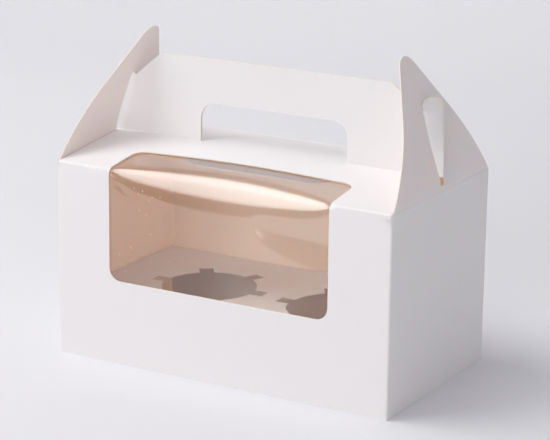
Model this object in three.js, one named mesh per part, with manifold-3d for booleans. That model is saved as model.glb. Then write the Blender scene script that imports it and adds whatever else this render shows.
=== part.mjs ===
// A white folding-board carton for two cupcakes, with a window in its front and roof, a carrying handle
// and two slotted ears that hook over the handle. Millimetres, +Z up, origin at the centre of the base.
// X runs along the box, to the right of someone who looks at the window, and Y from the window to the back.
import * as THREE from "three";
import { mergeVertices } from "three/addons/utils/BufferGeometryUtils.js";
import Module from "manifold-3d";

// Board and the folded box
const CARD = 0.45;
const LENGTH = 160;
const DEPTH = 90;
const WALL_HEIGHT = 85.7;
const ROOF_RISE = 5.3;
const FOLD_RADIUS = 0.9;
const PIECE_GAP = 0.3;

// Window, cut from the front wall over the fold into the roof
const WINDOW_LENGTH = 105.6;
const WINDOW_OFFSET = -0.8;
const WINDOW_SILL = 37;
const WINDOW_REACH = 22.7;
const WINDOW_RADIUS = 5.5;

// Clear film, glued behind the window
const FILM = 0.2;
const FILM_BORDER = 7;
const FILM_BEND = 7;

// Handle: two plies, each with a finger hole in its middle and a hooked tab at both ends
const PLY_GAP = 0.3;
const HANDLE_HEIGHT = 36.5;
const HANDLE_SHOULDER = 24;
const HANDLE_TOP_RADIUS = 4;
const NOTCH_HEIGHT = 24.7;
const NOTCH_RADIUS = 1;
const TAB_REACH = 0.2;
const TAB_LENGTH = 10;
const TAB_HEIGHT = 31;
const TAB_RADIUS = 3;
const FINGER_LENGTH = 71.5;
const FINGER_HEIGHT = 17.3;
const FINGER_RADIUS = 7;
const REAR_TONGUE_DROOP = 15;

// Ears: the slotted flaps of the end walls, bent inwards
const EAR_LENGTH = 57;
const EAR_INSET = 1.5;
const EAR_TIP_RADIUS = 8;
const EAR_FOOT_LEAN = 5;
const EAR_TIP_LEAN = 26;
const EAR_BEND_LENGTH = 32;
const SLOT_WIDTH = 3.4;
const SLOT_BULGE = 1.6;
const SLOT_FOOT = 2;
const SLOT_END = 37.8;

// Base: two end flaps between a rear flap and a front flap, which locks them with its tongue
const SEAM_FLAP = 14;
const BASE_TAPER = 6;
const END_FLAP_DEPTH = 40;
const REAR_FLAP_DEPTH = 58;
const FRONT_FLAP_DEPTH = 40;
const LOCK_LENGTH = 70;
const LOCK_DEPTH = 14;

// Insert: a deck with two notched cup holes, on a front and a rear leg
const DECK_HEIGHT = 26;
const CUP_SPACING = 63;
const CUP_RADIUS = 21;
const CUP_NOTCHES = 6;
const CUP_NOTCH_WIDTH = 6.5;
const CUP_NOTCH_RADIUS = 27;

const ARC_SEGMENTS = 8;
const X = new THREE.Vector3(1, 0, 0);
const Y = new THREE.Vector3(0, 1, 0);
const Z = new THREE.Vector3(0, 0, 1);
const ROOF_ANGLE = Math.atan2(ROOF_RISE, DEPTH / 2);
const ROOF_SLOPE = Math.hypot(ROOF_RISE, DEPTH / 2);
const CREASE_HEIGHT = WALL_HEIGHT + ROOF_RISE;

const wasm = await Module();
wasm.setup();

function solidOf(geometry) {
  geometry.deleteAttribute("normal");
  geometry.deleteAttribute("uv");
  const merged = mergeVertices(geometry, 1e-4);
  const vertProperties = merged.getAttribute("position").array;
  const triVerts = new Uint32Array(merged.index.array);
  return new wasm.Manifold(new wasm.Mesh({ numProp: 3, vertProperties, triVerts }));
}

// A closed outline through corners [across, up, radius], each corner rounded to its radius.
function outlineOf(corners) {
  const points = corners.flatMap(([across, up, radius = 0], i) => {
    const corner = new THREE.Vector2(across, up);
    if (radius === 0) {
      return [corner];
    }
    const back = new THREE.Vector2(...corners.at(i - 1)).sub(corner).normalize();
    const ahead = new THREE.Vector2(...corners[(i + 1) % corners.length]).sub(corner).normalize();
    const half = Math.acos(back.dot(ahead)) / 2;
    const centre = back.clone().add(ahead).setLength(radius / Math.sin(half)).add(corner);
    const start = back.setLength(radius / Math.tan(half)).add(corner).sub(centre);
    const end = ahead.setLength(radius / Math.tan(half)).add(corner).sub(centre);
    const sweep = Math.atan2(start.cross(end), start.dot(end));
    return Array.from({ length: ARC_SEGMENTS + 1 }, (_, k) =>
      start.clone().rotateAround(new THREE.Vector2(), (sweep * k) / ARC_SEGMENTS).add(centre),
    );
  });
  return new THREE.Shape(points);
}

function rectangle(length, height, radius = 0) {
  return outlineOf([
    [-length / 2, -height / 2, radius],
    [length / 2, -height / 2, radius],
    [length / 2, height / 2, radius],
    [-length / 2, height / 2, radius],
  ]);
}

// A sheet cut to an outline drawn along u and v. Its outer face holds the origin, and faces along u × v.
function sheet(outline, origin, u, v, thickness = CARD) {
  const out = new THREE.Vector3().crossVectors(u, v);
  const geometry = new THREE.ExtrudeGeometry(outline, {
    depth: thickness,
    bevelEnabled: false,
    curveSegments: ARC_SEGMENTS,
  });
  const place = new THREE.Matrix4().makeBasis(u, v, out);
  place.setPosition(origin.clone().addScaledVector(out, -thickness));
  return solidOf(geometry.applyMatrix4(place));
}

function joined(solids) {
  return solids.reduce((whole, next) => whole.add(next));
}

function meshOf(name, solid, colour, roughness, opacity = 1) {
  const { vertProperties, triVerts } = solid.getMesh();
  const geometry = new THREE.BufferGeometry();
  geometry.setAttribute("position", new THREE.BufferAttribute(vertProperties, 3));
  geometry.setIndex(new THREE.BufferAttribute(triVerts, 1));
  geometry.computeVertexNormals();
  const material = new THREE.MeshStandardMaterial({ color: colour, roughness, metalness: 0 });
  material.opacity = opacity;
  material.transparent = opacity < 1;
  const mesh = new THREE.Mesh(geometry, material);
  mesh.name = name;
  return mesh;
}

// How far an ear has come inwards and up at a distance along it. The handle's tab holds it in a bend
// that grows evenly over its lower part, and from there to the tip it runs straight.
function earPoint(distance) {
  const steps = 24;
  const point = new THREE.Vector2();
  for (let k = 0; k < steps; k += 1) {
    const along = (distance * (k + 0.5)) / steps;
    const bend = Math.min(along / EAR_BEND_LENGTH, 1);
    const lean = THREE.MathUtils.degToRad(THREE.MathUtils.lerp(EAR_FOOT_LEAN, EAR_TIP_LEAN, bend));
    point.x += (Math.sin(lean) * distance) / steps;
    point.y += (Math.cos(lean) * distance) / steps;
  }
  return point;
}

// The four walls as one sleeve, with rounded vertical folds and a glued seam flap at the rear left.
function walls() {
  const sleeve = rectangle(LENGTH, DEPTH, FOLD_RADIUS);
  sleeve.holes.push(rectangle(LENGTH - 2 * CARD, DEPTH - 2 * CARD, FOLD_RADIUS - CARD));
  const seamHeight = WALL_HEIGHT - 2 * BASE_TAPER;
  const seamMiddle = DEPTH / 2 - CARD / 2 - SEAM_FLAP / 2;
  const seamAt = new THREE.Vector3(-LENGTH / 2 + 2 * CARD, seamMiddle, WALL_HEIGHT / 2);
  return joined([
    sheet(sleeve, new THREE.Vector3(0, 0, WALL_HEIGHT), X, Y, WALL_HEIGHT),
    sheet(rectangle(SEAM_FLAP, seamHeight), seamAt, Y, Z, 1.5 * CARD),
  ]);
}

// The base flaps lie on each other: front flap, end flaps, rear flap, and the front flap's tongue on top.
function base() {
  const layer = (outline, count) => sheet(outline, new THREE.Vector3(0, 0, count * CARD), X, Y);
  const side = LENGTH / 2 - CARD / 2;
  const edge = DEPTH / 2 - CARD / 2;
  const frontEnd = FRONT_FLAP_DEPTH - edge;
  const rearEnd = edge - REAR_FLAP_DEPTH;
  const front = outlineOf([
    [-side + CARD, -edge],
    [side - CARD, -edge],
    [side - BASE_TAPER, frontEnd, BASE_TAPER],
    [-side + BASE_TAPER, frontEnd, BASE_TAPER],
  ]);
  const rear = outlineOf([
    [-side + BASE_TAPER, rearEnd, BASE_TAPER],
    [side - BASE_TAPER, rearEnd, BASE_TAPER],
    [side - CARD, edge],
    [-side + CARD, edge],
  ]);
  const slit = rectangle(LOCK_LENGTH + 2 * PIECE_GAP, CARD + 2 * PIECE_GAP);
  const riser = rectangle(LOCK_LENGTH, CARD);
  const lockAt = frontEnd - CARD / 2;
  const tongue = outlineOf([
    [-LOCK_LENGTH / 2, frontEnd - CARD],
    [LOCK_LENGTH / 2, frontEnd - CARD],
    [LOCK_LENGTH / 2, frontEnd + LOCK_DEPTH, BASE_TAPER],
    [-LOCK_LENGTH / 2, frontEnd + LOCK_DEPTH, BASE_TAPER],
  ]);
  const ends = [1, -1].map((way) => {
    const flap = outlineOf([
      [-edge + CARD, 0],
      [edge - CARD, 0],
      [edge - BASE_TAPER, END_FLAP_DEPTH, BASE_TAPER],
      [-edge + BASE_TAPER, END_FLAP_DEPTH, BASE_TAPER],
    ]);
    const inwards = X.clone().multiplyScalar(-way);
    const along = Y.clone().multiplyScalar(way);
    return sheet(flap, new THREE.Vector3(way * side, 0, 2 * CARD), along, inwards);
  });
  const slitTop = new THREE.Vector3(0, lockAt, 3 * CARD + PIECE_GAP);
  const slitCut = sheet(slit, slitTop, X, Y, CARD + 2 * PIECE_GAP);
  return joined([
    layer(front, 1),
    ...ends,
    layer(rear, 3).subtract(slitCut),
    sheet(riser, new THREE.Vector3(0, lockAt, 4 * CARD), X, Y, 4 * CARD),
    layer(tongue, 4),
  ]);
}

// One half of the roof with its ply of the handle. The finger hole's card stays on the roof as a tongue:
// the front one lies in line with its roof, and the rear one droops under the front roof.
function roofAndHandle(way, tongueAngle) {
  const across = X.clone().multiplyScalar(-way);
  const up = new THREE.Vector3(0, -way * Math.cos(ROOF_ANGLE), Math.sin(ROOF_ANGLE));
  const eave = LENGTH / 2 - CARD - PIECE_GAP;
  const ridge = eave - earPoint(ROOF_RISE).x;
  const ridgeUp = ROOF_SLOPE - PLY_GAP / 2;
  const roof = outlineOf([
    [-eave, 0],
    [eave, 0],
    [ridge, ridgeUp],
    [-ridge, ridgeUp],
  ]);
  const finger = FINGER_LENGTH / 2;
  const tongue = outlineOf([
    [-finger, -CARD],
    [finger, -CARD],
    [finger, FINGER_HEIGHT, FINGER_RADIUS],
    [-finger, FINGER_HEIGHT, FINGER_RADIUS],
  ]);
  const tab = LENGTH / 2 + TAB_REACH;
  const notch = tab - TAB_LENGTH;
  const half = [
    [finger, -CARD],
    [ridge, -CARD],
    [tab, TAB_REACH],
    [tab, TAB_HEIGHT, TAB_RADIUS],
    [notch, TAB_HEIGHT, TAB_RADIUS],
    [notch, NOTCH_HEIGHT, NOTCH_RADIUS],
    [LENGTH / 2 - HANDLE_SHOULDER, HANDLE_HEIGHT, HANDLE_TOP_RADIUS],
  ];
  const otherHalf = half.map(([x, z, radius]) => [-x, z, radius]).reverse();
  const fingerTop = [
    [-finger, FINGER_HEIGHT, FINGER_RADIUS],
    [finger, FINGER_HEIGHT, FINGER_RADIUS],
  ];
  const ply = outlineOf([...half, ...otherHalf, ...fingerTop]);
  const plyAt = way * (PLY_GAP / 2 + (way > 0 ? CARD : 0));
  const tongueUp = new THREE.Vector3(0, -way * Math.cos(tongueAngle), Math.sin(tongueAngle));
  const crease = new THREE.Vector3(0, (way * PLY_GAP) / 2, CREASE_HEIGHT);
  return joined([
    sheet(roof, new THREE.Vector3(0, (way * DEPTH) / 2, WALL_HEIGHT), across, up),
    sheet(ply, new THREE.Vector3(0, plyAt, CREASE_HEIGHT), X.clone().negate(), Z),
    sheet(tongue, crease, across, tongueUp),
  ]);
}

// The window goes through the front wall and the front roof, and takes the fold between them with it.
function windowCut() {
  const through = 4 * CARD;
  const half = WINDOW_LENGTH / 2;
  const inWall = outlineOf([
    [-half, WINDOW_SILL, WINDOW_RADIUS],
    [half, WINDOW_SILL, WINDOW_RADIUS],
    [half, WALL_HEIGHT + CARD],
    [-half, WALL_HEIGHT + CARD],
  ]);
  const inRoof = outlineOf([
    [-half, -2 * CARD],
    [half, -2 * CARD],
    [half, WINDOW_REACH, WINDOW_RADIUS],
    [-half, WINDOW_REACH, WINDOW_RADIUS],
  ]);
  const roofUp = new THREE.Vector3(0, Math.cos(ROOF_ANGLE), Math.sin(ROOF_ANGLE));
  const behindWall = new THREE.Vector3(WINDOW_OFFSET, -DEPTH / 2 - CARD, 0);
  const overRoof = new THREE.Vector3(WINDOW_OFFSET, -DEPTH / 2, WALL_HEIGHT + CARD);
  return sheet(inWall, behindWall, X, Z, through).add(sheet(inRoof, overRoof, X, roofUp, through));
}

function carton() {
  const frontTongue = ROOF_ANGLE;
  const rearTongue = -THREE.MathUtils.degToRad(REAR_TONGUE_DROOP);
  const whole = joined([walls(), base(), roofAndHandle(-1, frontTongue), roofAndHandle(1, rearTongue)]);
  return whole.subtract(windowCut());
}

// The slot for the handle's tab gapes in its middle, where the tab pushes the card apart.
function slot() {
  const end = earPoint(SLOT_END).y;
  const middle = (SLOT_FOOT + end) / 2;
  const half = SLOT_WIDTH / 2;
  const outline = new THREE.Path();
  outline.moveTo(half, SLOT_FOOT);
  outline.quadraticCurveTo(half + 2 * SLOT_BULGE, middle, half, end);
  outline.lineTo(-half, end);
  outline.quadraticCurveTo(-half - 2 * SLOT_BULGE, middle, -half, SLOT_FOOT);
  return outline;
}

// An ear is a curved strip of card, cut to a rounded triangle with a slot up its middle.
function ear(way) {
  const outer = [];
  const inner = [];
  const steps = 14;
  for (let k = 0; k <= steps; k += 1) {
    const distance = PIECE_GAP + ((EAR_LENGTH - PIECE_GAP) * k) / steps;
    const point = earPoint(distance);
    const ahead = earPoint(distance + CARD).sub(point).setLength(CARD);
    outer.push(new THREE.Vector2(-point.x, point.y));
    inner.push(new THREE.Vector2(-point.x - ahead.y, point.y - ahead.x));
  }
  const strip = new THREE.Shape([...outer, ...inner.reverse()]);
  const fold = new THREE.Vector3((way * LENGTH) / 2, (-way * DEPTH) / 2, WALL_HEIGHT);
  const bent = sheet(strip, fold, X.clone().multiplyScalar(way), Z, DEPTH);

  const foot = DEPTH / 2 - EAR_INSET;
  const tipCentre = earPoint(EAR_LENGTH).y - EAR_TIP_RADIUS;
  const tangent = Math.acos(EAR_TIP_RADIUS / Math.hypot(foot, tipCentre)) - Math.atan2(tipCentre, foot);
  const triangle = new THREE.Shape();
  triangle.moveTo(-foot, -CARD);
  triangle.lineTo(foot, -CARD);
  triangle.absarc(0, tipCentre, EAR_TIP_RADIUS, tangent, Math.PI - tangent);
  triangle.holes.push(slot());
  const reach = 2 * earPoint(EAR_LENGTH).x;
  const cut = sheet(triangle, new THREE.Vector3(LENGTH / 2 + CARD, 0, WALL_HEIGHT), Y, Z, reach);
  return bent.intersect(way > 0 ? cut : cut.mirror([1, 0, 0]));
}

// The film runs up behind the front wall and bends back under the roof, all at one gap from the card.
function film() {
  const wallFace = -DEPTH / 2 + CARD + PIECE_GAP;
  const drop = (CARD + PIECE_GAP) / Math.cos(ROOF_ANGLE);
  const underRoof = (y) => WALL_HEIGHT - drop + (y + DEPTH / 2) * Math.tan(ROOF_ANGLE);
  const rearEnd = -DEPTH / 2 + (WINDOW_REACH + FILM_BORDER) * Math.cos(ROOF_ANGLE);
  const inside = FILM * Math.cos(ROOF_ANGLE);
  const profile = outlineOf([
    [wallFace, WINDOW_SILL - FILM_BORDER],
    [wallFace + FILM, WINDOW_SILL - FILM_BORDER],
    [wallFace + FILM, underRoof(wallFace + FILM) - inside, FILM_BEND - FILM],
    [rearEnd, underRoof(rearEnd) - inside],
    [rearEnd, underRoof(rearEnd)],
    [wallFace, underRoof(wallFace), FILM_BEND],
  ]);
  const length = WINDOW_LENGTH + 2 * FILM_BORDER;
  return sheet(profile, new THREE.Vector3(WINDOW_OFFSET + length / 2, 0, 0), Y, Z, length);
}

// The insert is folded from one strip: a leg, the deck with its cup holes, and a leg.
function insert() {
  const side = DEPTH / 2 - CARD - PIECE_GAP;
  const foot = 3 * CARD + PIECE_GAP;
  const profile = outlineOf([
    [-side, foot],
    [-side + CARD, foot],
    [-side + CARD, DECK_HEIGHT - CARD, FOLD_RADIUS - CARD],
    [side - CARD, DECK_HEIGHT - CARD, FOLD_RADIUS - CARD],
    [side - CARD, foot],
    [side, foot],
    [side, DECK_HEIGHT, FOLD_RADIUS],
    [-side, DECK_HEIGHT, FOLD_RADIUS],
  ]);
  const length = LENGTH - 4 * CARD - 2 * PIECE_GAP;
  const channel = sheet(profile, new THREE.Vector3(length / 2, 0, 0), Y, Z, length);
  return channel.subtract(joined([-1, 1].map((way) => cupHole((way * CUP_SPACING) / 2))));
}

// A cup hole is a disc with bars across it, which cut the notches that let the rim give.
function cupHole(x) {
  const top = new THREE.Vector3(x, 0, DECK_HEIGHT + CARD);
  const disc = new THREE.Shape();
  disc.absarc(0, 0, CUP_RADIUS, 0, 2 * Math.PI);
  const cuts = [sheet(disc, top, X, Y, 3 * CARD)];
  for (let k = 0; k < CUP_NOTCHES / 2; k += 1) {
    const angle = (2 * Math.PI * k) / CUP_NOTCHES;
    const along = X.clone().applyAxisAngle(Z, angle);
    const across = Y.clone().applyAxisAngle(Z, angle);
    const bar = rectangle(2 * CUP_NOTCH_RADIUS, CUP_NOTCH_WIDTH, CARD);
    cuts.push(sheet(bar, top, along, across, 3 * CARD));
  }
  return joined(cuts);
}

const box = new THREE.Group();
box.add(
  meshOf("carton", carton(), 0xf0eeee, 0.55),
  meshOf("left_ear", ear(-1), 0xf0eeee, 0.55),
  meshOf("right_ear", ear(1), 0xf0eeee, 0.55),
  meshOf("window_film", film(), 0xf4f4f2, 0.08, 0.25),
  meshOf("cup_insert", insert(), 0xf0e6dc, 0.8),
);

export default box;
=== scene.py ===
import math

import bmesh
import bpy
from mathutils import Matrix, Vector
from mathutils.geometry import delaunay_2d_cdt


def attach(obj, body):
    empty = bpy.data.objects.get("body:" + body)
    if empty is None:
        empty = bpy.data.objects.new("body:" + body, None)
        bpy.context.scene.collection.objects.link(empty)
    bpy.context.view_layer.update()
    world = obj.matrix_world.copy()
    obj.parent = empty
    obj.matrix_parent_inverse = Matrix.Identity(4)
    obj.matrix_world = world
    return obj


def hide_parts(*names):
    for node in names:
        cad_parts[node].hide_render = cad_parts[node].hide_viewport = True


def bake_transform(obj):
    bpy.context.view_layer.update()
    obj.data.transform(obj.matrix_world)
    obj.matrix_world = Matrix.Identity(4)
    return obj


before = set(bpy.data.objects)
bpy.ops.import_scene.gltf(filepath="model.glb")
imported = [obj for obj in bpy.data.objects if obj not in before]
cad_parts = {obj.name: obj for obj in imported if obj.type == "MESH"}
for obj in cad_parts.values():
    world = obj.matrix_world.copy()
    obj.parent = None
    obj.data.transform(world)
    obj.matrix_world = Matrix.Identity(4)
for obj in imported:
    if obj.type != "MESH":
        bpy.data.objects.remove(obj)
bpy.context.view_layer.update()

# Carton
# The real piece is one die-cut sheet of white ivory board, about 350 g/m2, creased, folded and glued into
# a sleeve with a locked base, a gable roof and two handle plies. Its outside has a smooth matt clay
# coating, its inside is bare warm fibre, and a cut edge shows the fibre.
MM = 0.001

# Sizes are in millimetres. The walls stand up to the eave, and the handle stands up from the crease. FOLD is
# the outer radius of a creased fold, and CLEAR the air between two sheets that lie side by side.
LENGTH, DEPTH = 160.0, 90.0
EAVE, CREASE = 85.7, 91.0
CARD = 0.45
FOLD = 0.9
CLEAR = 0.3
ROOF_ANGLE = math.atan2(CREASE - EAVE, DEPTH / 2)
ROOF_SLOPE = math.hypot(CREASE - EAVE, DEPTH / 2)


def linear(hexcode):
    """An sRGB hex colour as the linear values that a shader takes."""
    parts = [int(hexcode[i : i + 2], 16) / 255 for i in (1, 3, 5)]
    return [c / 12.92 if c <= 0.04045 else ((c + 0.055) / 1.055) ** 2.4 for c in parts] + [1.0]


def add(owner, kind, settings=None, links=None):
    """A node of that kind in the tree of a material or the world.

    A setting goes to the node's own property of that name, or else to the value of that input. A link leads
    to an input from another node's output.
    """
    node = owner.node_tree.nodes.new(kind)
    for name, value in (settings or {}).items():
        if isinstance(name, str) and hasattr(node, name):
            setattr(node, name, value)
        else:
            node.inputs[name].default_value = value
    for name, source in (links or {}).items():
        owner.node_tree.links.new(source, node.inputs[name])
    return node


def new_material(name):
    """A material with an empty node tree."""
    material = bpy.data.materials.new(name)
    material.use_nodes = True
    material.node_tree.nodes.clear()
    return material


CLOUD = 35.0


def board_material(name, pale, warm, roughness, fibre, height, seep=0.0):
    """Paper board: two near colours in slow clouds, a bump of the given fibre size and height in mm, and
    light that seeps through the sheet from its other side, warmer as it goes."""
    material = new_material(name)
    place = add(material, "ShaderNodeTexCoord").outputs["Object"]
    cloud = add(material, "ShaderNodeTexNoise", {"Scale": 1 / (CLOUD * MM), "Detail": 3.0}, {"Vector": place})
    # Inputs 6 and 7 of a colour mix are its two colours, and output 2 is the colour that it gives.
    tint = add(
        material,
        "ShaderNodeMix",
        {"data_type": "RGBA", 6: linear(pale), 7: linear(warm)},
        {0: cloud.outputs["Fac"]},
    )
    tufts = add(material, "ShaderNodeTexNoise", {"Scale": 1 / (fibre * MM), "Detail": 4.0}, {"Vector": place})
    bump = add(
        material,
        "ShaderNodeBump",
        {"Strength": 0.35, "Distance": height * MM},
        {"Height": tufts.outputs["Fac"]},
    )
    surface = add(
        material,
        "ShaderNodeBsdfPrincipled",
        {
            "Roughness": roughness,
            "IOR": 1.5,
            "Specular IOR Level": 0.35,
            "Subsurface Weight": 1.0 if seep else 0.0,
            "Subsurface Radius": (1.0, 0.66, 0.5),
            "Subsurface Scale": seep * MM,
        },
        {"Base Color": tint.outputs[2], "Normal": bump.outputs["Normal"]},
    )
    add(material, "ShaderNodeOutputMaterial", links={"Surface": surface.outputs["BSDF"]})
    return material


# The clay coating is even and softly matt, with a faint orange peel from the calender.
coating = {"roughness": 0.5, "fibre": 1.6, "height": 0.02}
coated_board = board_material("ivory board, clay coated", "#EEEBEB", "#ECE9EA", **coating)
# On the flaps that stand against the light, the coating glows a little from behind; its colour is also
# painted a touch darker and warmer, as painted shade.
lit_board_painted_shade = board_material("ivory board, clay coated, lit through, painted shade", "#ECE8E7", "#EAE6E6", **coating, seep=0.3)
# The uncoated side is dull and a little warmer, and shows its fibre. Single fibres are about 0.03 mm wide,
# too fine to show, so they are drawn as 0.7 mm tufts.
fibres = {"roughness": 0.85, "fibre": 0.7, "height": 0.03}
bare_board = board_material("ivory board, bare side", "#F9EAE1", "#F8E8DE", **fibres, seep=0.8)
# Where a flap lies on another sheet, no light comes through the two. Its bare side is painted more orange
# than the carton's inside, as painted warm bounce light in the shaded base and behind the seam flap.
doubled_board_painted_warm_light = board_material("ivory board, bare side, doubled, painted warm light", "#FCE2D0", "#FADFCC", **fibres)
# The ears' bare side stands in the open. It lets less light through, and is painted a little darker and
# cooler than the carton's inside, as painted shade.
open_board_painted_shade = board_material("ivory board, bare side, in the open, painted shade", "#F4EAE5", "#F2E7E1", **fibres, seep=0.2)
# The die leaves the sheet's core bare along every cut, and it is the darkest fibre.
cut_fibres = {"roughness": 0.9, "fibre": 0.4, "height": 0.02}
cut_board = board_material("ivory board, die-cut edge", "#F0E6DB", "#EADDCF", **cut_fibres)


def arc(centre, radius, start, end, steps=8):
    """Points along an arc, angles in degrees."""
    turn = [math.radians(start + (end - start) * k / steps) for k in range(steps + 1)]
    return [(centre[0] + radius * math.cos(a), centre[1] + radius * math.sin(a)) for a in turn]


def outline_of(corners, steps=8):
    """A closed outline through corners (x, y, radius), each rounded to its radius."""
    points = []
    for i, (x, y, radius) in enumerate(corners):
        corner = Vector((x, y))
        if radius == 0:
            points.append(tuple(corner))
            continue
        back = (Vector(corners[i - 1][:2]) - corner).normalized()
        ahead = (Vector(corners[(i + 1) % len(corners)][:2]) - corner).normalized()
        half = back.angle(ahead) / 2
        centre = corner + (back + ahead).normalized() * radius / math.sin(half)
        start = corner + back * radius / math.tan(half) - centre
        end = corner + ahead * radius / math.tan(half) - centre
        sweep = math.atan2(start.x * end.y - start.y * end.x, start.dot(end))
        for k in range(steps + 1):
            turned = Matrix.Rotation(sweep * k / steps, 2) @ start
            points.append(tuple(centre + turned))
    return points


def split_long(points, step):
    """The outline with its long straight stretches cut into steps, so that a curved sheet follows them."""
    out = []
    for (x0, y0), (x1, y1) in zip(points, points[1:] + points[:1]):
        count = max(1, math.ceil(math.hypot(x1 - x0, y1 - y0) / step))
        out += [(x0 + (x1 - x0) * k / count, y0 + (y1 - y0) * k / count) for k in range(count)]
    return out


def inside(x, y, ring):
    """Whether a point is inside a closed outline."""
    hit = False
    for (x0, y0), (x1, y1) in zip(ring, ring[1:] + ring[:1]):
        if (y0 > y) != (y1 > y) and x < (x1 - x0) * (y - y0) / (y1 - y0) + x0:
            hit = not hit
    return hit


SAME_POINT = 1e-4


def card(name, outline, place, holes=(), step=4.0, rows=(), columns=(), thick=CARD, materials=None):
    """A sheet cut to an outline, with holes, and folded by place(u, v), which gives its outer face in mm.

    The flat sheet is filled with a grid of points every step, plus the stated rows and columns, which lie
    close together where the sheet folds. Its card thickness goes inwards, the way place turns it. The
    materials are those of its outer face, inner face and cut edge.
    """
    rings = [split_long(outline, step)] + [split_long(hole, step) for hole in holes]
    points = [Vector(p) for ring in rings for p in ring]
    edges = []
    first = 0
    for ring in rings:
        edges += [(first + k, first + (k + 1) % len(ring)) for k in range(len(ring))]
        first += len(ring)
    low = [min(p[k] for p in rings[0]) for k in (0, 1)]
    high = [max(p[k] for p in rings[0]) for k in (0, 1)]

    def ticks(axis, extra):
        count = max(1, round((high[axis] - low[axis]) / step))
        even = [low[axis] + (high[axis] - low[axis]) * k / count for k in range(count + 1)]
        return sorted(set(even) | set(extra))

    across = ticks(0, columns)
    up = ticks(1, rows)
    points += [Vector((x, y)) for x in across for y in up]
    flat, _, loops = delaunay_2d_cdt(points, edges, [], 0, SAME_POINT)[:3]

    mesh = bmesh.new()
    verts = [mesh.verts.new(Vector(place(p.x, p.y)) * MM) for p in flat]
    for loop in loops:
        x = sum(flat[k].x for k in loop) / len(loop)
        y = sum(flat[k].y for k in loop) / len(loop)
        if inside(x, y, rings[0]) and not any(inside(x, y, ring) for ring in rings[1:]):
            face = mesh.faces.new([verts[k] for k in loop])
            face.smooth = True
    for vert in [v for v in mesh.verts if not v.link_faces]:
        mesh.verts.remove(vert)
    data = bpy.data.meshes.new(name)
    mesh.to_mesh(data)
    mesh.free()
    piece = bpy.data.objects.new(name, data)
    bpy.context.scene.collection.objects.link(piece)
    for material in materials or (coated_board, bare_board, cut_board):
        data.materials.append(material)
    solid = piece.modifiers.new("card thickness", "SOLIDIFY")
    solid.thickness = thick * MM
    solid.offset = -1
    solid.material_offset = 1
    solid.material_offset_rim = 2
    return piece


CRISP_EDGE = math.radians(50)


def applied(piece):
    """Applies the piece's modifiers and keeps its cut edges crisp."""
    bpy.context.view_layer.update()
    seen = bpy.data.meshes.new_from_object(piece.evaluated_get(bpy.context.evaluated_depsgraph_get()))
    piece.modifiers.clear()
    piece.data = seen
    for edge in seen.edges:
        edge.use_edge_sharp = False
    bpy.context.view_layer.objects.active = piece
    seen.set_sharp_from_angle(angle=CRISP_EDGE)


def round_corner(along, radius, sweep):
    """A path that turns by sweep at along = 0, with its corner rounded: the point (forward, sideways)."""
    reach = radius * math.tan(sweep / 2)
    if along <= -reach:
        return along, 0.0
    if along >= reach:
        return along * math.cos(sweep), along * math.sin(sweep)
    angle = sweep * (along + reach) / (2 * reach)
    return -reach + radius * math.sin(angle), radius * (1 - math.cos(angle))


def around(u):
    """The sleeve's outer face at a distance along it from the middle of the front, seen from above."""
    half_length, half_depth = LENGTH / 2, DEPTH / 2
    if abs(u) <= half_length / 2:
        return u, -half_depth
    side = 1 if u > 0 else -1
    if abs(u) <= half_length + half_depth:
        forward, turn = round_corner(abs(u) - half_length, FOLD, math.pi / 2)
        return side * (half_length + forward), -half_depth + turn
    if abs(u) <= half_length + DEPTH + half_length:
        forward, turn = round_corner(abs(u) - half_length - DEPTH, FOLD, math.pi / 2)
        return side * (half_length - turn), half_depth + forward
    forward, turn = round_corner(abs(u) - 3 * half_length - DEPTH, FOLD, math.pi / 2)
    return side * (-half_length - forward), half_depth - turn


def on_wall(u, v):
    """The four walls in one strip: u runs around the box and v up."""
    x, y = around(u)
    return x, y, v


# Walls, roof and ears are one sheet, built as cards that meet at a seam just below the fold between them.
# The window crosses the front's seam, and the walls step back at the corners to let the roof pass.
WALL_SEAM = EAVE - 2.0
EAR_SEAM = EAVE - 0.9
EAR_HALF = 43.5
CORNER_RELIEF = 0.7
SILL = 37.0
WINDOW_LEFT, WINDOW_RIGHT = -53.6, 52.0
WINDOW_REACH = 22.7
WINDOW_RADIUS = 5.5
# From the middle of the front, around the box to its front corner, rear corner and far rear corner.
front, end, back = LENGTH / 2, LENGTH / 2 + DEPTH, 3 * LENGTH / 2 + DEPTH
ear_foot = (DEPTH - 2 * EAR_HALF) / 2
wall_outline = outline_of(
    [
        (-back, 0, 0),
        (end, 0, 0),
        (end, EAVE, 0),
        (end - ear_foot, EAVE, 0),
        (end - ear_foot, EAR_SEAM, 0),
        (front + ear_foot, EAR_SEAM, 0),
        (front + ear_foot, EAVE, 0),
        (front, EAVE, 0),
        (front - CORNER_RELIEF, EAR_SEAM, 0),
        (front - CORNER_RELIEF, WALL_SEAM, 0),
        (WINDOW_RIGHT, WALL_SEAM, 0),
        (WINDOW_RIGHT, SILL, WINDOW_RADIUS),
        (WINDOW_LEFT, SILL, WINDOW_RADIUS),
        (WINDOW_LEFT, WALL_SEAM, 0),
        (-front + CORNER_RELIEF, WALL_SEAM, 0),
        (-front + CORNER_RELIEF, EAR_SEAM, 0),
        (-front, EAVE, 0),
        (-front - ear_foot, EAVE, 0),
        (-front - ear_foot, EAR_SEAM, 0),
        (-end + ear_foot, EAR_SEAM, 0),
        (-end + ear_foot, EAVE, 0),
        (-end, EAVE, 0),
        (-end - CORNER_RELIEF, EAR_SEAM, 0),
        (-end - CORNER_RELIEF, WALL_SEAM, 0),
        (-back, WALL_SEAM, 0),
    ]
)
fold_columns = [corner + k * FOLD / 4 for corner in (-end, -front, front) for k in (-6, *range(-4, 5), 6)]
carton_parts = [card("walls", wall_outline, on_wall, step=6.0, columns=fold_columns)]

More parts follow.
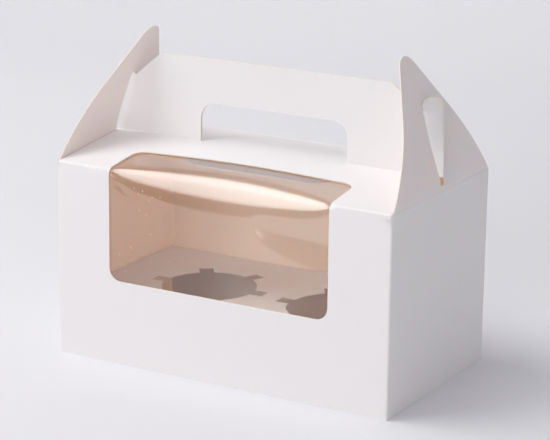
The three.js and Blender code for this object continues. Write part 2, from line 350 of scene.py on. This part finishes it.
# The roof's halves come off the long walls over a rounded fold, and narrow a little to pass between the
# ears. The front one has the window's upper end, where the springy film holds the board up in a low bow.
# The finger hole's card stays on both as tongues: the front one droops at its left, the rear one all along.
ROOF_BOW = 1.8
ROOF_CORNER = 1.2
ROOF_TAPER = 0.6
FINGER = 71.5 / 2
FINGER_HEIGHT = 17.3
FINGER_RADIUS = 7.0
FRONT_DROOP = 1.6
DROOP_FROM, DROOP_EASE, DROOP_LEAST = -24.0, 5.0, 0.15
REAR_DROOP = math.radians(28)
PLY_GAP = 0.3
EAVE_HALF = LENGTH / 2 - CARD - CLEAR
RIDGE_HALF = EAVE_HALF - ROOF_TAPER


def eased(x):
    """Rises from 0 far below zero to 1 far above it."""
    return 1 / (1 + math.exp(-x))


def on_roof(way):
    """The place of a roof half: v runs from the wall, over the fold at 0, to the crease and the tongue."""

    def place(u, v):
        forward, turn = round_corner(v, FOLD, math.pi / 2 - ROOF_ANGLE)
        bow = 0.0
        if way < 0 and abs(u) < LENGTH / 2:
            rise = max(0.0, math.sin(math.pi * min(max(v, 0), ROOF_SLOPE) / ROOF_SLOPE))
            bow = ROOF_BOW * rise * math.cos(math.pi * u / LENGTH) ** 2
        past = max(0.0, v - ROOF_SLOPE)
        droop = past * math.sin(REAR_DROOP)
        if way < 0:
            left = eased((DROOP_FROM - u) / DROOP_EASE)
            droop = FRONT_DROOP * (past / FINGER_HEIGHT) ** 2 * (left + DROOP_LEAST)
        return -way * u, way * (DEPTH / 2 - turn), EAVE + forward + bow - droop

    return place


def roof_outline(way):
    """A roof half and its tongue, with the window in the front one."""
    seam = WALL_SEAM - EAVE
    crease = ROOF_SLOPE - PLY_GAP / 2
    corners = [
        (FINGER, crease, 0),
        (FINGER, ROOF_SLOPE + FINGER_HEIGHT, FINGER_RADIUS),
        (-FINGER, ROOF_SLOPE + FINGER_HEIGHT, FINGER_RADIUS),
        (-FINGER, crease, 0),
        (-RIDGE_HALF, crease, 0),
        (-EAVE_HALF, ROOF_CORNER, 0),
        (-EAVE_HALF, seam, 0),
    ]
    if way < 0:
        corners += [
            (WINDOW_LEFT, seam, 0),
            (WINDOW_LEFT, WINDOW_REACH, WINDOW_RADIUS),
            (WINDOW_RIGHT, WINDOW_REACH, WINDOW_RADIUS),
            (WINDOW_RIGHT, seam, 0),
        ]
    corners += [(EAVE_HALF, seam, 0), (EAVE_HALF, ROOF_CORNER, 0), (RIDGE_HALF, crease, 0)]
    return outline_of(corners)


fold_rows = [k * FOLD / 4 for k in range(-4, 5)]
for way, side in ((-1, "front"), (1, "rear")):
    # The rear half's coating is painted a touch darker and warmer, as painted shade.
    faces = (coated_board if way < 0 else lit_board_painted_shade, bare_board, cut_board)
    half = card(f"{side}_roof", roof_outline(way), on_roof(way), rows=fold_rows, materials=faces)
    carton_parts.append(half)

# The two plies of the handle stand back to back. Each ends in a hooked tab, which the ear slots over. An
# ear leans in from its fold, in a bend that the tabs hold it in, and outside its slot a tab turns back.
EAR_LENGTH = 57.0
FOOT_LEAN, TIP_LEAN, BEND_LENGTH = 5.0, 26.0, 32.0
PROFILE_STEP = 0.25
ear_profile = [(0.0, 0.0)]
for k in range(int(EAR_LENGTH / PROFILE_STEP)):
    along = PROFILE_STEP * (k + 0.5)
    lean = math.radians(FOOT_LEAN + (TIP_LEAN - FOOT_LEAN) * min(along / BEND_LENGTH, 1))
    up, inward = ear_profile[-1]
    ear_profile.append((up + PROFILE_STEP * math.cos(lean), inward + PROFILE_STEP * math.sin(lean)))
EAR_RISE = ear_profile[-1][0]


def ear_inward(height):
    """How far an ear's outer face has come inwards at a height above its fold."""
    if height <= 0:
        return 0.0
    for (z0, x0), (z1, x1) in zip(ear_profile, ear_profile[1:]):
        if z1 >= height:
            return x0 + (x1 - x0) * (height - z0) / (z1 - z0)
    return ear_profile[-1][1]


PLY_HEIGHT = 36.5
PLY_WAVE, WAVE_LENGTH, WAVE_SHIFT = 0.12, 130.0, 20.0
SHOULDER, SHOULDER_RADIUS = 24.0, 4.0
NOTCH_HEIGHT, NOTCH_RADIUS = 24.7, 1.0
TAB = LENGTH / 2 + 0.2
TAB_FOOT = 0.6
TAB_FLARE = 0.3
TAB_LENGTH = 10.0
TAB_HEIGHT, TAB_FALL = 32.0, 2.0
TAB_RADIUS = 3.0
TAB_CLEAR = 1.0
TAB_FOLD = 1.0
TAB_TURNS = {-1: math.radians(15), 1: math.radians(70)}
ply_half = [
    (FINGER, 0, 0),
    (RIDGE_HALF, 0, 0),
    (TAB, TAB_FOOT, 0),
    (TAB + TAB_FLARE, TAB_HEIGHT - TAB_FALL, TAB_RADIUS),
    (TAB - TAB_LENGTH, TAB_HEIGHT, TAB_RADIUS),
    (TAB - TAB_LENGTH, NOTCH_HEIGHT, NOTCH_RADIUS),
    (LENGTH / 2 - SHOULDER, PLY_HEIGHT, SHOULDER_RADIUS),
]
ply_outline = outline_of(
    ply_half
    + [(-x, y, radius) for x, y, radius in reversed(ply_half)]
    + [(-FINGER, FINGER_HEIGHT, FINGER_RADIUS), (FINGER, FINGER_HEIGHT, FINGER_RADIUS)]
)


def on_ply(way):
    """A ply stands on its crease, with a slight wave along its length. TAB_TURNS holds left and right."""

    def place(u, v):
        lift = v / PLY_HEIGHT
        wave = PLY_WAVE * lift * math.sin(2 * math.pi * (u + WAVE_SHIFT * way) / WAVE_LENGTH)
        height = CREASE - CARD / 2 + v * (1 + CARD / 2 / PLY_HEIGHT)
        face = way * (PLY_GAP / 2 + CARD)
        x = -way * u
        side = 1 if x > 0 else -1
        turn_at = LENGTH / 2 - ear_inward(height - EAVE) + TAB_CLEAR - face * math.tan(TAB_TURNS[side] / 2)
        forward, turn = round_corner(abs(x) - turn_at, TAB_FOLD, TAB_TURNS[side])
        return side * (turn_at + forward), face + wave + turn, height

    return place


for way, side in ((-1, "front"), (1, "rear")):
    carton_parts.append(card(f"{side}_ply", ply_outline, on_ply(way), step=5.0))

# The base locks: the front flap's tongue goes up through a slit in the rear flap, over the end flaps.
FRONT_FLAP, REAR_FLAP, END_FLAP = 40.0, 58.0, 40.0
LOCK_HALF, LOCK_LENGTH = 35.0, 14.0
BASE_TAPER = 6.0


def level(layer):
    """The place of a flap that lies flat, by its layer in the base."""
    return lambda u, v: (-u, v, layer * CARD)


# The inner faces of the base flaps and the seam flap carry the painted warm bounce light.
doubled_faces_painted_warm_light = (coated_board, doubled_board_painted_warm_light, cut_board)
half_depth = DEPTH / 2 - CARD / 2
half_length = LENGTH / 2 - CARD / 2
lock_at = FRONT_FLAP - half_depth
front_flap = [
    (-half_length + CARD, -half_depth, 0),
    (half_length - CARD, -half_depth, 0),
    (half_length - BASE_TAPER, lock_at, BASE_TAPER),
    (-half_length + BASE_TAPER, lock_at, BASE_TAPER),
]
rear_flap = [
    (-half_length + BASE_TAPER, half_depth - REAR_FLAP, BASE_TAPER),
    (half_length - BASE_TAPER, half_depth - REAR_FLAP, BASE_TAPER),
    (half_length - CARD, half_depth, 0),
    (-half_length + CARD, half_depth, 0),
]
lock_tongue = [
    (-LOCK_HALF, lock_at, 0),
    (LOCK_HALF, lock_at, 0),
    (LOCK_HALF, lock_at + LOCK_LENGTH, BASE_TAPER),
    (-LOCK_HALF, lock_at + LOCK_LENGTH, BASE_TAPER),
]
end_flap = [
    (half_length, -half_depth + CARD, 0),
    (half_length, half_depth - CARD, 0),
    (half_length - END_FLAP, half_depth - BASE_TAPER, BASE_TAPER),
    (half_length - END_FLAP, -half_depth + BASE_TAPER, BASE_TAPER),
]
for name, flap, layer in (
    ("front_flap", front_flap, 0),
    ("right_flap", end_flap, 1),
    ("left_flap", [(-x, y, radius) for x, y, radius in reversed(end_flap)], 1),
    ("rear_flap", rear_flap, 2),
    ("lock_tongue", lock_tongue, 3),
):
    carton_parts.append(card(name, outline_of(flap), level(layer), step=20.0, materials=doubled_faces_painted_warm_light))

# The seam flap is glued inside the right end wall, at its rear edge. Its ends taper to clear the folds.
SEAM_FLAP = 14.5
SEAM_END, SEAM_TAPER = 6.0, 6.0


def on_seam(u, v):
    """Flat against the inside of the right end wall: u runs down it and v to the rear."""
    return LENGTH / 2 - CARD, v, -u


seam_inner, seam_outer = DEPTH / 2 - SEAM_FLAP, DEPTH / 2 - CARD
seam_outline = [
    (-SEAM_END, seam_outer),
    (-SEAM_END - SEAM_TAPER, seam_inner),
    (SEAM_END + SEAM_TAPER - EAVE, seam_inner),
    (SEAM_END - EAVE, seam_outer),
]
carton_parts.append(card("seam_flap", seam_outline, on_seam, step=20.0, materials=doubled_faces_painted_warm_light))

for part in carton_parts:
    applied(part)


def joined(parts, name):
    """One object from several."""
    bpy.ops.object.select_all(action="DESELECT")
    for part in parts:
        part.select_set(True)
    bpy.context.view_layer.objects.active = parts[0]
    bpy.ops.object.join()
    parts[0].name = name
    return parts[0]


carton = joined(carton_parts, "carton_sheet")
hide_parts("carton")
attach(carton, "carton")

# Ears
# The end walls run on into these slotted flaps. They fold in over the roof's ends and hook over the
# handle's tabs, which hold them in a bend. They are cut from the same sheet.
TIP_RADIUS = 8.0
EAR_CORNER = 0.3
SLOT_FOOT, SLOT_END = 2.0, 32.0
SLOT_HALF, SLOT_BULGE = 1.6, 1.2
PULL, PULL_HALF, PULL_HEIGHT, PULL_REACH = 1.3, 9.0, 20.0, 11.0
GROOVE, GROOVE_HALF = 0.16, 0.45


def on_ear(way):
    """The place of an ear: v is the height above its fold. The tabs pull the board in around the slot, and
    the crease of the fold is pressed in as a fine groove."""

    def place(u, v):
        pull = PULL * math.exp(-((u / PULL_HALF) ** 2) - ((v - PULL_HEIGHT) / PULL_REACH) ** 2)
        groove = GROOVE * math.exp(-((v / GROOVE_HALF) ** 2))
        return way * (LENGTH / 2 - ear_inward(v) - (pull + groove)), way * u, EAVE + v

    return place


# The sides run straight up to the round tip, which they meet at its tangent.
tip_centre = EAR_RISE - TIP_RADIUS
side_length = math.hypot(EAR_HALF, tip_centre)
tangent = math.degrees(math.acos(TIP_RADIUS / side_length) - math.atan2(tip_centre, EAR_HALF))
ear_outline = [(-EAR_HALF, EAR_SEAM - EAVE), (EAR_HALF, EAR_SEAM - EAVE), (EAR_HALF, EAR_CORNER)]
ear_outline += arc((0, tip_centre), TIP_RADIUS, tangent, 180 - tangent, 14) + [(-EAR_HALF, EAR_CORNER)]


def slot_side(side):
    """One long side of the slot, which gapes in its middle."""
    ups = [k / 12 for k in range(13)]
    rise = SLOT_END - SLOT_FOOT
    return [(side * (SLOT_HALF + SLOT_BULGE * 4 * t * (1 - t)), SLOT_FOOT + rise * t) for t in ups]


ear_slot = slot_side(1) + slot_side(-1)[::-1]
groove_rows = [-0.6, -0.3, 0, 0.3, 0.6]
for way, name in ((-1, "left_ear"), (1, "right_ear")):
    ear = card(
        f"{name}_card",
        ear_outline,
        on_ear(way),
        holes=[ear_slot],
        step=3.0,
        rows=groove_rows,
        # Both of the ears' faces have colours painted a touch darker, as painted shade.
        materials=(lit_board_painted_shade, open_board_painted_shade, cut_board),
    )
    applied(ear)
    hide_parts(name)
    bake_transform(ear)

# Insert
# A strip of uncoated white board, scored twice into a deck on two legs. Each cup hole has six notches,
# so that its rim gives way to a cupcake's case. It stands loose in the carton.
DECK = 26.0
CUP_RADIUS = 21.0
CUP_CENTRES = ((-31.5, 0), (31.0, 0.5))
CUP_TURNS = (5, 2)
NOTCHES = 6
NOTCH_REACH = 27.0
NOTCH_HALF = 3.25
INSERT_HALF = LENGTH / 2 - 2 * CARD - CLEAR
DECK_HALF = DEPTH / 2 - CARD - CLEAR
BUCKLE, BUCKLE_FROM, BUCKLE_EASE = 1.5, 4.0, 9.0


def cup_outline(centre, turn):
    """A round hole with square notches in its rim, turned by an angle in degrees."""
    shoulder = math.degrees(math.asin(NOTCH_HALF / CUP_RADIUS))
    spacing = 360 / NOTCHES
    points = []
    for k in range(NOTCHES):
        angle = turn + spacing * k
        ray = Vector((math.cos(math.radians(angle)), math.sin(math.radians(angle))))
        side = Vector((-ray.y, ray.x)) * NOTCH_HALF
        points += [tuple(ray * NOTCH_REACH - side), tuple(ray * NOTCH_REACH + side)]
        points += arc((0, 0), CUP_RADIUS, angle + shoulder, angle + spacing - shoulder, 6)
    return [(centre[0] + x, centre[1] + y) for x, y in points]


def on_insert(u, v):
    """v runs across the strip from the middle of the deck, over a fold, and down a leg. The deck's right end
    is buckled: its edges stand up a little along the folds."""
    way = 1 if v > 0 else -1
    forward, turn = round_corner(abs(v) - DECK_HALF, FOLD, math.pi / 2)
    buckle = 0.0
    if abs(v) < DECK_HALF:
        buckle = BUCKLE * eased((u - BUCKLE_FROM) / BUCKLE_EASE) * math.cos(math.pi * forward / 2 / DECK_HALF)
    return u, way * (DECK_HALF + forward), DECK - turn + buckle


leg = DECK - 3 * CARD - CLEAR
insert_outline = [
    (-INSERT_HALF, -DECK_HALF - leg),
    (INSERT_HALF, -DECK_HALF - leg),
    (INSERT_HALF, DECK_HALF + leg),
    (-INSERT_HALF, DECK_HALF + leg),
]
insert_rows = [way * DECK_HALF + k * FOLD / 4 for way in (-1, 1) for k in range(-4, 5)]
# The insert's board is bare on both sides, dull and whiter than the carton's inside.
insert_board = board_material("white board, uncoated", "#FDF3EC", "#FCF0E8", **fibres, seep=0.9)
insert = card(
    "insert_card",
    insert_outline,
    on_insert,
    holes=[cup_outline(centre, turn) for centre, turn in zip(CUP_CENTRES, CUP_TURNS)],
    step=5.0,
    rows=insert_rows,
    materials=(insert_board, insert_board, cut_board),
)
applied(insert)
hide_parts("cup_insert")
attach(insert, "carton")

# Film
# Clear PET sheet, 0.2 mm, glued inside around the window before the carton is folded. Pressed over the
# eave with the board, it keeps a wide springy bend in its middle, and is pinched tight at the glued ends.
FILM = 0.2
FILM_BORDER = 7.0
TIGHT_BEND, LOOSE_BEND = 2.5, 14.5
SHINE_FACE_ON = 0.12
FLECK_SPACING, FLECK_WIDTH = 3.0, 0.39


def clear_film(name):
    """Polished plastic: clear face on, with soft reflections of the room that grow at a grazing angle.

    A few flecks of dust lie on it. Real dust is too fine to show, so they are drawn 0.4 mm wide.
    """
    material = new_material(name)
    clear = add(material, "ShaderNodeBsdfTransparent", {"Color": linear("#FEFCFB")})
    gloss = add(material, "ShaderNodeBsdfGlossy", {"Color": linear("#FFFFFF"), "Roughness": 0.22})
    facing = add(material, "ShaderNodeLayerWeight", {"Blend": 0.5})
    grazing = add(material, "ShaderNodeMath", {"operation": "POWER", 1: 3.0}, {0: facing.outputs["Facing"]})
    share = add(
        material,
        "ShaderNodeMath",
        {"operation": "MULTIPLY_ADD", 1: 1 - SHINE_FACE_ON, 2: SHINE_FACE_ON},
        {0: grazing.outputs["Value"]},
    )
    shiny = add(
        material,
        "ShaderNodeMixShader",
        links={0: share.outputs["Value"], 1: clear.outputs["BSDF"], 2: gloss.outputs["BSDF"]},
    )
    place = add(material, "ShaderNodeTexCoord").outputs["Object"]
    cells = add(material, "ShaderNodeTexVoronoi", {"Scale": 1 / (FLECK_SPACING * MM)}, {"Vector": place})
    fleck = add(
        material,
        "ShaderNodeMath",
        {"operation": "LESS_THAN", 1: FLECK_WIDTH / 2 / FLECK_SPACING},
        {0: cells.outputs["Distance"]},
    )
    dust = add(material, "ShaderNodeBsdfDiffuse", {"Color": linear("#FFFFFF")})
    dusty = add(
        material,
        "ShaderNodeMixShader",
        links={0: fleck.outputs["Value"], 1: shiny.outputs["Shader"], 2: dust.outputs["BSDF"]},
    )
    add(material, "ShaderNodeOutputMaterial", links={"Surface": dusty.outputs["Shader"]})
    return material


def through(name):
    """The film's inner face and rim add nothing of their own: its outer face carries both reflections."""
    material = new_material(name)
    clear = add(material, "ShaderNodeBsdfTransparent", {"Color": linear("#FFFFFF")})
    add(material, "ShaderNodeOutputMaterial", links={"Surface": clear.outputs["BSDF"]})
    return material


film_material = clear_film("clear PET, polished")
film_inside = through("clear PET, inner face")

# The film has a shallow dent at its right, below the eave, and a small crumple at its upper left. Heights
# are from the eave.
DENT_HEIGHT, DENT_MIDDLE, DENT_TILT = -14.5, 20.0, 0.06
DENT_RIGHT, DENT_REACH, DENT_DROP = 53.0, 37.0, 12.0
DENT_SLOPE, DENT_FADE = 0.2, 8.0
CRUMPLE = 0.35
CRUMPLE_SIDE, CRUMPLE_HEIGHT = -49.0, -9.0
CRUMPLE_WIDE, CRUMPLE_HIGH = 4.0, 5.0
RIPPLE_ALONG, RIPPLE_UP = 0.5, 0.9


def smooth(x):
    """Rises smoothly from 0 to 1 as x does."""
    x = min(max(x, 0.0), 1.0)
    return x * x * (3 - 2 * x)


def dent(u, v):
    """How deep the dent is: it deepens upwards to a slanting crease in the film, and fades out above it."""
    crease = DENT_HEIGHT - DENT_TILT * (u - DENT_MIDDLE)
    drop = DENT_DROP * math.sqrt(max(0.0, 1 - ((DENT_RIGHT - u) / DENT_REACH) ** 2))
    if v < crease:
        return DENT_SLOPE * max(0.0, v - crease + drop)
    return DENT_SLOPE * drop * smooth(1 - (v - crease) / DENT_FADE)


def crumple(u, v):
    """How deep the crumple's ripples are."""
    near = math.exp(-(((u - CRUMPLE_SIDE) / CRUMPLE_WIDE) ** 2) - ((v - CRUMPLE_HEIGHT) / CRUMPLE_HIGH) ** 2)
    return CRUMPLE * near * math.sin(RIPPLE_UP * v + RIPPLE_ALONG * u)


def on_film(u, v):
    """v is 0 at the eave: the wall part is below it and the roof part above."""
    t = min(max((u - WINDOW_LEFT) / (WINDOW_RIGHT - WINDOW_LEFT), 0), 1)
    bend = TIGHT_BEND + (LOOSE_BEND - TIGHT_BEND) * math.sin(math.pi * t) ** 0.5
    forward, turn = round_corner(v, bend, math.pi / 2 - ROOF_ANGLE)
    inset = CARD + CLEAR
    bow = 0.0
    if v > 0:
        bow = ROOF_BOW * math.sin(math.pi * v / ROOF_SLOPE) * math.cos(math.pi * u / LENGTH) ** 2
    y = -DEPTH / 2 + turn + inset + (dent(u, v) + crumple(u, v))
    return u, y, EAVE + forward - inset + bow


film_left, film_right = WINDOW_LEFT - FILM_BORDER, WINDOW_RIGHT + FILM_BORDER
film_low, film_high = SILL - FILM_BORDER - EAVE, WINDOW_REACH + FILM_BORDER
film_outline = [
    (film_left, film_low),
    (film_right, film_low),
    (film_right, film_high),
    (film_left, film_high),
]
film = card(
    "film_sheet",
    film_outline,
    on_film,
    step=1.5,
    thick=FILM,
    materials=(film_material, film_inside, film_inside),
)
applied(film)
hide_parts("window_film")
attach(film, "carton")

# Camera
# It stands at the photograph's angle, solved from the box's corners. The angles are in degrees around and
# above the box, and the distance and target in millimetres.
AZIMUTH, ELEVATION, ROLL = 29.99, 15.76, 0.71
DISTANCE = 926.4
TARGET = Vector((1.3, 0, 61.0))
LENS_MM, SENSOR_MM = 141.9, 36.0
azimuth, elevation = math.radians(AZIMUTH), math.radians(ELEVATION)
towards = Vector(
    (math.sin(azimuth) * math.cos(elevation), -math.cos(azimuth) * math.cos(elevation), math.sin(elevation))
)
right = (-towards).cross(Vector((0, 0, 1))).normalized()
above = right.cross(-towards)
spin = Matrix.Rotation(math.radians(ROLL), 3, towards)
pose = Matrix((spin @ right, spin @ above, towards)).transposed().to_4x4()
pose.translation = (TARGET + towards * DISTANCE) * MM
camera_data = bpy.data.cameras.new("camera")
camera_data.lens = LENS_MM
camera_data.sensor_width = SENSOR_MM
camera = bpy.data.objects.new("camera", camera_data)
camera.matrix_world = pose
bpy.context.scene.collection.objects.link(camera)
bpy.context.scene.camera = camera

# Studio
# The box stands on a sweep of pale matt paper, painted paler towards its back as painted light that evens out
# the lamps' falloff there. A large soft box with a brighter core lights it from above the left, and a weaker
# one fills from the front. Sizes are in metres.
SWEEP_FRONT, SWEEP_BACK, SWEEP_RADIUS, SWEEP_HALF, SWEEP_TOP = -1.5, 1.1, 0.6, 2.5, 1.6
PALER_FROM, PALEST_AT = 0.15, 1.0

# Uncoated paper is dull, and keeps only the box's soft shadow.
sweep_paper = new_material("sweep paper, matt")
position = add(sweep_paper, "ShaderNodeNewGeometry")
position_parts = add(sweep_paper, "ShaderNodeSeparateXYZ", links={0: position.outputs["Position"]})
# The paper's colour is painted paler towards the back: painted light on the backdrop.
backdrop_painted_light = add(
    sweep_paper,
    "ShaderNodeMapRange",
    {"From Min": PALER_FROM, "From Max": PALEST_AT},
    {"Value": position_parts.outputs["Y"]},
)
paper = add(
    sweep_paper,
    "ShaderNodeMix",
    {"data_type": "RGBA", 6: linear("#E4E4E8"), 7: linear("#F8F8FC")},
    {0: backdrop_painted_light.outputs["Result"]},
)
matt = add(
    sweep_paper,
    "ShaderNodeBsdfPrincipled",
    {"Roughness": 0.9, "Specular IOR Level": 0.1},
    {"Base Color": paper.outputs[2]},
)
add(sweep_paper, "ShaderNodeOutputMaterial", links={"Surface": matt.outputs["BSDF"]})

profile = [(SWEEP_FRONT, 0.0), (SWEEP_BACK - SWEEP_RADIUS, 0.0)]
profile += arc((SWEEP_BACK - SWEEP_RADIUS, SWEEP_RADIUS), SWEEP_RADIUS, -90, 0, 24)[1:]
profile += [(SWEEP_BACK, SWEEP_TOP)]
sweep = bmesh.new()
rails = [[sweep.verts.new((x, y, z)) for y, z in profile] for x in (-SWEEP_HALF, SWEEP_HALF)]
for k in range(len(profile) - 1):
    sweep.faces.new((rails[0][k], rails[1][k], rails[1][k + 1], rails[0][k + 1])).smooth = True
sweep_mesh = bpy.data.meshes.new("sweep")
sweep.to_mesh(sweep_mesh)
sweep.free()
sweep_mesh.materials.append(sweep_paper)
floor = bpy.data.objects.new("sweep", sweep_mesh)
bpy.context.scene.collection.objects.link(floor)

LIT_POINT = Vector((0, 0, 0.05))


def soft_box(name, place, width, height, watts, colour):
    """A rectangular lamp that is turned to the cupcake box."""
    data = bpy.data.lights.new(name, "AREA")
    data.shape = "RECTANGLE"
    data.size, data.size_y = width, height
    data.energy = watts
    data.color = linear(colour)[:3]
    lamp = bpy.data.objects.new(name, data)
    lamp.location = place
    lamp.rotation_euler = (LIT_POINT - Vector(place)).to_track_quat("-Z", "Y").to_euler()
    bpy.context.scene.collection.objects.link(lamp)


soft_box("key soft box", (-0.7, -0.42, 1.25), width=1.1, height=1.15, watts=15.5, colour="#FFFEFD")
soft_box("key core", (-0.72, -0.1, 1.3), width=0.7, height=0.6, watts=1.4, colour="#FFFEFD")
soft_box("front fill", (0.1, -1.7, 0.6), width=1.0, height=0.9, watts=10.2, colour="#FFFFFF")

# The room is dim, and darkest above the front left, which is what the film's wide bend mirrors.
DARKEST_WAY = (-0.45, -0.7, 0.55)
world = bpy.data.worlds.new("dim studio")
bpy.context.scene.world = world
world.use_nodes = True
world.node_tree.nodes.clear()
looking = add(world, "ShaderNodeTexCoord")
to_the_dark = add(
    world,
    "ShaderNodeVectorMath",
    {"operation": "DOT_PRODUCT", 1: DARKEST_WAY},
    {0: looking.outputs["Generated"]},
)
dimming = add(
    world,
    "ShaderNodeMapRange",
    {"From Min": 0.2, "From Max": 0.85, "To Min": 0.68, "To Max": 0.06},
    {"Value": to_the_dark.outputs["Value"]},
)
room = add(
    world,
    "ShaderNodeBackground",
    {"Color": linear("#E6E4E8")},
    {"Strength": dimming.outputs["Result"]},
)
add(world, "ShaderNodeOutputWorld", links={"Surface": room.outputs["Background"]})

# The inside of a pale box is lit by light that goes from wall to wall many times and warms as it goes, so
# the render follows it for more bounces than usual.
bpy.context.scene.cycles.diffuse_bounces = 10
bpy.context.scene.cycles.max_bounces = 16

bpy.context.scene.view_settings.view_transform = "Standard"
